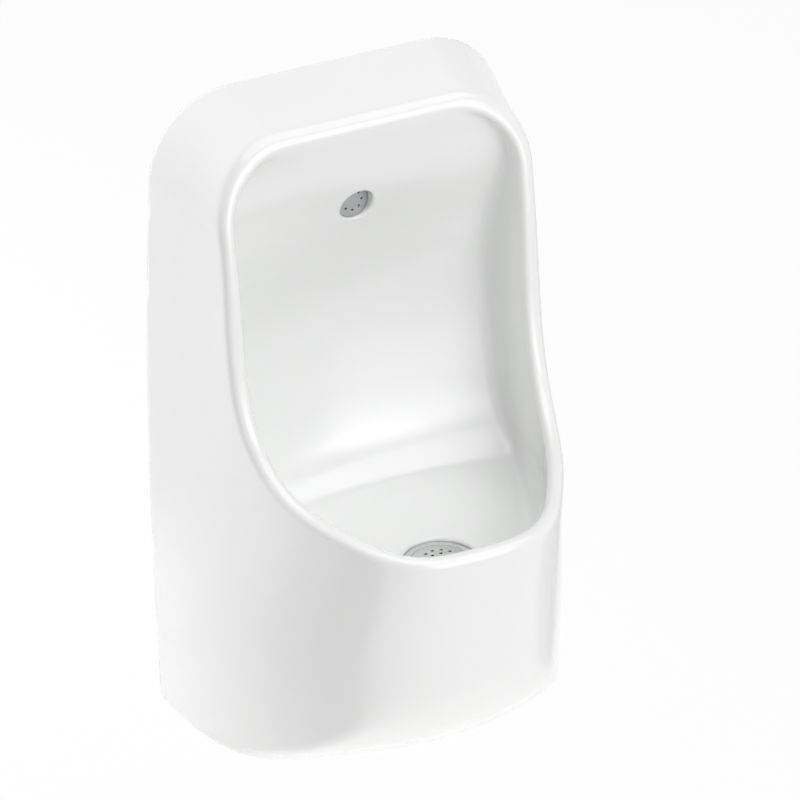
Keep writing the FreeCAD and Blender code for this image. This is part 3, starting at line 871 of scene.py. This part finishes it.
    def field(self, points: np.ndarray) -> np.ndarray:
        """Distance of points from the skin, negative in the china.

        Args:
            points: Places in millimetres.

        Returns:
            Distances in millimetres.
        """
        x, d, z = np.abs(points[..., 0]), -points[..., 1], points[..., 2]
        outside = self.outside(x, d, z)
        bowl = self.bowl(x, d, z)
        edge = round_max(outside, -z, self.bottom_round)
        rim = self.rim_table.at(d, z)
        flare = self.rim_flare * np.exp(-((rim / self.rim_flare_reach) ** 2))
        body = round_max(edge - flare, rim, self.rim_round)
        body = round_max(body, -bowl, self.rim_round)
        fade = np.clip(1 - z / self.corner_crease_top, 0, 1)
        crease = self.crease_width + (self.corner_crease - self.crease_width) * fade
        body = soft_max(body, self.chin(x, d, z), crease)
        body = round_max(body, -self.hollow(x, d, z, outside, bowl), self.inner_round)
        for hole in self.holes(x, d, z):
            body = round_max(body, -hole, self.hole_round)
        return round_max(body, -d, self.hole_round)

    def slope(self, points: np.ndarray) -> np.ndarray:
        """Direction in which the field rises at points, with its steepness.

        Args:
            points: Places in millimetres.

        Returns:
            One vector for each point.
        """
        steps = self.probe * np.eye(3)
        rises = [self.field(points + step) - self.field(points - step) for step in steps]
        return np.stack([rise / (2 * self.probe) for rise in rises], axis=1)

    def settled(self, points: np.ndarray, faces: np.ndarray) -> np.ndarray:
        """Even out a mesh's points and put each of them on the skin.

        Args:
            points: The mesh's points.
            faces: Corner numbers of its faces.

        Returns:
            The points in their new places.
        """
        sides = np.concatenate([faces[:, [a, (a + 1) % 4]] for a in range(4)])
        edges = np.unique(np.sort(sides, axis=1), axis=0)
        both = np.concatenate([edges, edges[:, ::-1]])
        degree = np.bincount(both[:, 0], minlength=len(points))

        def neighbours_middle() -> np.ndarray:
            """Middle of the points that share an edge with each point."""
            total = [np.bincount(both[:, 0], points[both[:, 1], axis], len(points)) for axis in range(3)]
            return np.stack(total, axis=1) / degree[:, None]

        for pull in self.settling_pulls:
            points = points + pull * (neighbours_middle() - points)
            rise = self.slope(points)
            steepness = np.maximum((rise**2).sum(axis=1), self.least_steepness)
            move = rise * (self.field(points) / steepness)[:, None]
            length = np.maximum(np.linalg.norm(move, axis=1), self.least_move)
            points = points - move * np.minimum(1, self.grid_step / length)[:, None]
        for _ in range(self.unfold_rounds):
            loose = np.unique(faces[self.turned_over(points, faces)])
            points[loose] = neighbours_middle()[loose]
        return points

    def turned_over(self, points: np.ndarray, faces: np.ndarray) -> np.ndarray:
        """Which faces have a corner that faces into the china, as some do at sharp edges.

        Args:
            points: The mesh's points.
            faces: Corner numbers of its faces.

        Returns:
            True for each such face.
        """
        corners = points[faces]
        rise = self.slope(corners.mean(axis=1))
        ahead = np.roll(corners, -1, axis=1) - corners
        behind = np.roll(corners, 1, axis=1) - corners
        return ((np.cross(ahead, behind) * rise[:, None, :]).sum(axis=2) < 0).any(axis=1)

    def build(self) -> bpy.types.Object:
        """Make the glazed skin and set it in place of the CAD body.

        Returns:
            The skin.
        """
        low = np.array([-self.width / 2 - self.margin, -self.depth - self.margin, -self.margin])
        high = np.array([self.width / 2 + self.margin, self.margin, self.height + self.margin])
        axes = [np.arange(a, b + self.grid_step, self.grid_step) for a, b in zip(low, high)]
        levels = []
        for height in axes[2]:
            grid_x, grid_y = np.meshgrid(axes[0], axes[1], indexing="ij")
            points = np.stack([grid_x, grid_y, np.full_like(grid_x, height)], axis=-1)
            levels.append(self.field(points))
        points, faces = surface_net(np.stack(levels, axis=2), low, self.grid_step)
        points = self.settled(points, faces)
        piece = new_piece("glazed_ceramic_body", points * MM, faces)
        self.dress(piece)
        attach(piece, MAIN_BODY)
        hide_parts("ceramic_body")
        return piece

    def dress(self, piece: bpy.types.Object) -> None:
        """Glaze the body, and leave the face that lies against the wall as bare biscuit.

        Args:
            piece: The skin.
        """
        piece.data.materials.append(GLAZED_CHINA.build())
        piece.data.materials.append(FIRED_BISCUIT.build())
        for face in piece.data.polygons:
            against_wall = face.normal.y > self.wall_facing and face.center.y > -MM
            face.material_index = 1 if against_wall else 0


@dataclass
class Fittings:
    """One set of CAD pieces that keep their shape and get their real finish.

    Attributes:
        name: What the set is for.
        finishes: Finish of each node.
    """

    name: str
    finishes: dict[str, Finish]

    def dress(self) -> None:
        """Give each node its material."""
        for node, finish in self.finishes.items():
            material = bpy.data.materials.get(finish.name) or finish.build()
            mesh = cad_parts[node].data
            mesh.materials.clear()
            mesh.materials.append(material)
            log.info("%s: %s in %s", self.name, node, finish.name)


HANGER_SET = Fittings(
    "hangers and lower fixings",
    {
        "hanger_bracket_left": GALVANISED_STEEL,
        "hanger_bracket_right": GALVANISED_STEEL,
        "hanger_pads": RUBBER,
        "fixing_bushes": NYLON,
    },
)
INLET_SET = Fittings(
    "flush inlet",
    {
        "inlet_spreader": SATIN_CHROME,
        "inlet_front_gasket": RUBBER,
        "inlet_rear_gasket": RUBBER,
        "inlet_washer": STAINLESS_STEEL,
        "inlet_locknut": PLAIN_BRASS,
    },
)
WASTE_SET = Fittings(
    "waste",
    {
        "strainer": STAINLESS_STEEL,
        "waste_flange": CHROMED_BRASS,
        "waste_upper_gasket": RUBBER,
        "waste_lower_gasket": RUBBER,
        "waste_friction_ring": NYLON,
        "waste_locknut": PLAIN_BRASS,
    },
)
TRAP_SET = Fittings(
    "trap",
    {
        "trap_inlet_nut": POLYPROPYLENE,
        "trap_inlet_seal": RUBBER,
        "trap_bend": POLYPROPYLENE,
        "trap_union_nut": POLYPROPYLENE,
        "trap_union_seal": RUBBER,
        "outlet_elbow": POLYPROPYLENE,
        "cleaning_plug": POLYPROPYLENE,
        "cleaning_seal": RUBBER,
    },
)


@dataclass(frozen=True)
class SoftBox:
    """A large soft lamp that looks at the middle of the object.

    Attributes:
        name: Place of the lamp in the studio.
        azimuth: Degrees round the object from the front, to the right.
        elevation: Degrees above the horizon.
        distance: Metres from the object.
        size: Width and height in metres.
        power: Watts, if the whole lamp were as bright as its middle.
        falloff: How far it dims towards its sides, and towards its top and bottom, with 1 for all the way.
        mirrored: Whether glossy surfaces show the lamp.
    """

    name: str
    azimuth: float
    elevation: float
    distance: float
    size: tuple[float, float]
    power: float
    falloff: tuple[float, float] = (0.0, 0.0)
    mirrored: bool = True

    def build(self, target: Vector) -> bpy.types.Object:
        """Hang the lamp and turn it to target.

        Args:
            target: Point that the lamp looks at.

        Returns:
            The lamp.
        """
        lamp = bpy.data.lights.new(self.name, "AREA")
        lamp.shape = "RECTANGLE"
        lamp.size, lamp.size_y = self.size
        lamp.energy = self.power
        self.grade(lamp)
        light = bpy.data.objects.new(self.name, lamp)
        bpy.context.scene.collection.objects.link(light)
        light.visible_camera = False
        light.visible_glossy = self.mirrored
        outward = direction(self.azimuth, self.elevation)
        light.location = target + outward * self.distance
        light.rotation_euler = outward.to_track_quat("Z", "Y").to_euler()
        return light

    def grade(self, lamp: bpy.types.AreaLight) -> None:
        """Make the lamp dimmer towards its edges, as cloth in front of one bulb is.

        Args:
            lamp: The lamp to grade.
        """
        if not any(self.falloff):
            return
        lamp.use_nodes = True
        tree = lamp.node_tree
        place = add_node(tree, "ShaderNodeNewGeometry").outputs["Parametric"]
        middle = (0.5, 0.5, 0.0)
        off = add_node(tree, "ShaderNodeVectorMath", {0: place, 1: middle}, operation="SUBTRACT")
        reach = (2 * self.falloff[0], 2 * self.falloff[1], 0.0)
        stretch = {0: off.outputs["Vector"], 1: reach}
        scaled = add_node(tree, "ShaderNodeVectorMath", stretch, operation="MULTIPLY")
        away = add_node(tree, "ShaderNodeVectorMath", {0: scaled.outputs["Vector"]}, operation="LENGTH")
        dim = add_node(
            tree,
            "ShaderNodeMapRange",
            {"Value": away.outputs["Value"], "To Min": 1.0, "To Max": 0.0},
            interpolation_type="SMOOTHSTEP",
        )
        tree.links.new(dim.outputs["Result"], tree.nodes["Emission"].inputs["Strength"])


def direction(azimuth: float, elevation: float) -> Vector:
    """Unit vector from the object towards an azimuth, 0 at the front, and an elevation, in degrees."""
    a, e = math.radians(azimuth), math.radians(elevation)
    return Vector((math.sin(a) * math.cos(e), -math.cos(a) * math.cos(e), math.sin(e)))


@dataclass(frozen=True)
class Flag:
    """A frame of net beside the object, shown only by glossy surfaces, so that its edges read against white.

    Attributes:
        name: Place of the frame in the studio.
        net: What it is covered with.
        across: Where it stands along X, in metres.
        along: Its ends along Y, in metres.
        tall: Its bottom and top, in metres.
    """

    name: str
    net: Finish
    across: float
    along: tuple[float, float]
    tall: tuple[float, float]

    def build(self) -> bpy.types.Object:
        """Stand the frame up with its net.

        Returns:
            The net.
        """
        (back, front), (low, high) = self.along, self.tall
        corners = [(back, low), (front, low), (front, high), (back, high)]
        points = np.array([(self.across, y, z) for y, z in corners])
        net = new_piece(self.name, points, np.array([[0, 1, 2, 3]]))
        net.data.materials.append(bpy.data.materials.get(self.net.name) or self.net.build())
        net.visible_camera = net.visible_diffuse = net.visible_shadow = False
        return net


@dataclass
class Studio:
    """Floor, world, lamps, net flags and camera."""

    target: Vector
    camera_azimuth: float = -28.0
    camera_elevation: float = 29.0
    camera_distance: float = 5.168
    lens: float = 270.0
    sensor_width: float = 36.0
    clip_end: float = 100.0
    slide_right: float = -0.0059
    slide_up: float = 0.0358
    floor_drop: float = 0.35
    floor_size: float = 14.0
    floor_colour: str = "f4f4f3"
    floor_roughness: float = 0.9
    shade_share: float = 0.1
    fill: float = 0.45
    lamps: tuple[SoftBox, ...] = (
        SoftBox(
            name="softbox_front", azimuth=13.0, elevation=15.0,
            distance=1.3, size=(0.8, 1.75), power=7.6, falloff=(0.0, 1.0),
        ),
        SoftBox(
            name="softbox_right", azimuth=27.0, elevation=27.0,
            distance=2.4, size=(1.3, 1.4), power=11.5, falloff=(1.0, 1.0),
        ),
        SoftBox(
            name="softbox_left_behind", azimuth=-148.0, elevation=22.0,
            distance=2.6, size=(1.8, 1.8), power=52.0, mirrored=False,
        ),
        SoftBox(
            name="softbox_above", azimuth=30.0, elevation=70.0,
            distance=2.6, size=(2.4, 2.4), power=22.0,
        ),
        SoftBox(
            name="softbox_low", azimuth=-12.0, elevation=-70.0,
            distance=0.56, size=(0.6, 0.4), power=0.32, mirrored=False,
        ),
    )
    flags: tuple[Flag, ...] = (
        Flag(
            name="flag_left_wide", net=OPEN_NET, across=-0.62,
            along=(-0.60, -0.02), tall=(-0.34, 0.60),
        ),
        Flag(
            name="flag_left_narrow", net=CLOSE_NET, across=-0.60,
            along=(-0.45, -0.21), tall=(-0.34, 0.60),
        ),
        Flag(
            name="flag_right", net=OPEN_NET, across=0.70,
            along=(-0.30, 0.55), tall=(-0.34, 0.35),
        ),
    )

    def build(self) -> None:
        """Set up everything round the object."""
        self.lay_floor()
        self.fill_world()
        for lamp in self.lamps:
            lamp.build(self.target)
        for flag in self.flags:
            flag.build()
        self.place_camera()
        bpy.context.scene.view_settings.view_transform = "Standard"

    def lay_floor(self) -> None:
        """Lay a pale floor that reads as white and keeps the object's shadow."""
        half = self.floor_size / 2
        corners = np.array([(-half, -half), (half, -half), (half, half), (-half, half)])
        points = np.c_[corners, np.full(4, -self.floor_drop)]
        floor = new_piece("studio_floor", points, np.array([[0, 1, 2, 3]]))
        material = bpy.data.materials.new("Vinyl_sheet_matt_white")
        material.use_nodes = True
        tree = material.node_tree
        shader = tree.nodes["Principled BSDF"]
        shader.inputs["Base Color"].default_value = linear(self.floor_colour)
        shader.inputs["Roughness"].default_value = self.floor_roughness
        seen = self.seen_directly(tree)
        white = add_node(tree, "ShaderNodeEmission", {"Color": WHITE, "Strength": 1.0})
        keep = add_node(tree, "ShaderNodeMath", {0: seen, 1: 1 - self.shade_share}, operation="MULTIPLY")
        layers = {0: keep.outputs[0], 1: shader.outputs[0], 2: white.outputs[0]}
        mix = add_node(tree, "ShaderNodeMixShader", layers)
        tree.links.new(mix.outputs[0], tree.nodes["Material Output"].inputs["Surface"])
        floor.data.materials.append(material)

    def seen_directly(self, tree: bpy.types.NodeTree) -> bpy.types.NodeSocket:
        """Socket that is 1 where the camera, a mirror or glass looks, and 0 for soft light.

        Args:
            tree: Node tree that takes the nodes.

        Returns:
            The socket.
        """
        path = add_node(tree, "ShaderNodeLightPath").outputs
        bounced = {0: path["Is Glossy Ray"], 1: path["Is Transmission Ray"]}
        mirrors = add_node(tree, "ShaderNodeMath", bounced, operation="MAXIMUM")
        direct = {0: path["Is Camera Ray"], 1: mirrors.outputs[0]}
        seen = add_node(tree, "ShaderNodeMath", direct, operation="MAXIMUM")
        return seen.outputs[0]

    def fill_world(self) -> None:
        """Surround the object with white that fills its shadows at a plain level."""
        world = bpy.data.worlds.new("white_studio")
        world.use_nodes = True
        tree = world.node_tree
        background = tree.nodes["Background"]
        strength = add_node(
            tree,
            "ShaderNodeMapRange",
            {"Value": self.seen_directly(tree), "To Min": self.fill, "To Max": 1.0},
        )
        background.inputs["Color"].default_value = WHITE
        tree.links.new(strength.outputs["Result"], background.inputs["Strength"])
        bpy.context.scene.world = world

    def place_camera(self) -> None:
        """Put the camera at the photograph's viewing angle."""
        camera = bpy.data.cameras.new("camera")
        camera.lens = self.lens
        camera.sensor_width = self.sensor_width
        camera.clip_end = self.clip_end
        holder = bpy.data.objects.new("camera", camera)
        bpy.context.scene.collection.objects.link(holder)
        back = direction(self.camera_azimuth, self.camera_elevation)
        a = math.radians(self.camera_azimuth)
        right = Vector((math.cos(a), math.sin(a), 0.0))
        up = back.cross(right)
        place = self.target + back * self.camera_distance + right * self.slide_right + up * self.slide_up
        holder.matrix_world = Matrix.Translation(place) @ Matrix((right, up, back)).transposed().to_4x4()
        bpy.context.scene.camera = holder


def main() -> None:
    """Build the studio and every part of the urinal, and note its size."""
    logging.basicConfig(level=logging.INFO, format="%(message)s")
    Studio(Vector(OBJECT_MIDDLE)).build()
    body = CeramicBody().build()
    log.info("%s: %d faces", body.name, len(body.data.polygons))
    for fittings in (HANGER_SET, INLET_SET, WASTE_SET, TRAP_SET):
        fittings.dress()


if __name__ == "__main__":
    main()
